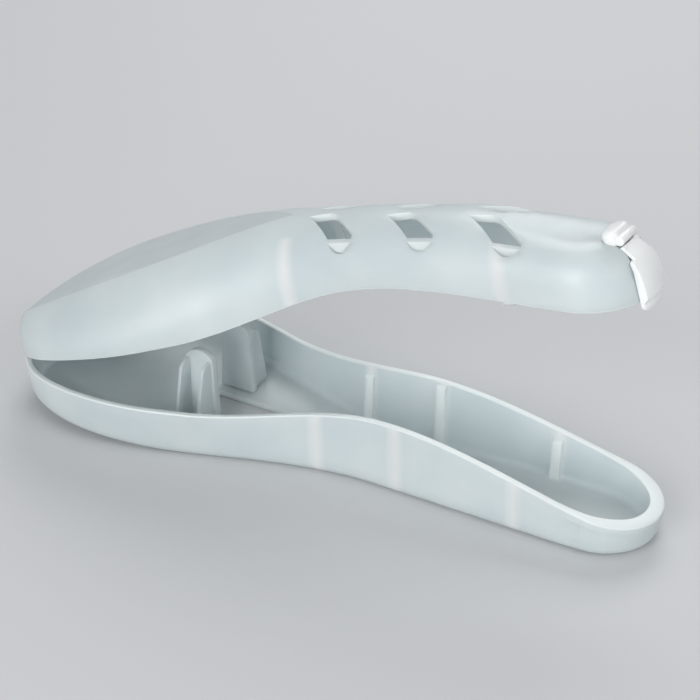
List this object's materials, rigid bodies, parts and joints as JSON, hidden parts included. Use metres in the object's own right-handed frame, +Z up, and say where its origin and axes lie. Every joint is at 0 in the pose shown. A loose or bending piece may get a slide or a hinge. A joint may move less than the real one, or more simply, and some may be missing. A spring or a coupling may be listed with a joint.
{
  "type": "razor case",
  "caption": "Frosted clamshell travel case with a wide head end and a slim grip end, folding hinge, vent slots, inner cradle, drain window and swinging clasp.",
  "frame": {"origin": "centre of the flat underside of the tray, where the case rests on the table", "axes": "+X from the hinge end to the clasp end, +Y to the far side seen from the picture, +Z up; the lid is stored open by 18.4 degrees, as pictured"},
  "size_m": [0.1906, 0.0684, 0.0838],
  "materials": {
    "frosted_shell": "frosted, translucent polypropylene",
    "clasp_white": "satin, opaque white"
  },
  "bodies": {
    "tray": {"base_tray": "frosted_shell", "neck_cradle_near": "frosted_shell", "neck_cradle_far": "frosted_shell", "hinge_leaf_base": "frosted_shell", "hinge_web": "frosted_shell"},
    "lid": {"lid_shell": "frosted_shell", "hinge_leaf_lid": "frosted_shell", "clasp_anchor": "clasp_white"},
    "clasp": {"clasp_strap": "clasp_white"}
  },
  "joints": [
    {"name": "lid_hinge", "type": "hinge", "parent": "tray", "child": "lid", "pos_m": [-0.1078, 0, 0.01375], "axis": [0, -1, 0], "range_deg": [-18.4, 100]},
    {"name": "clasp_swing", "type": "hinge", "parent": "lid", "child": "clasp", "pos_m": [0.0659, 0, 0.07989], "axis": [0, -1, 0], "range_deg": [0, 30], "stiffness_Nm_per_rad": 0.02}
  ]
}
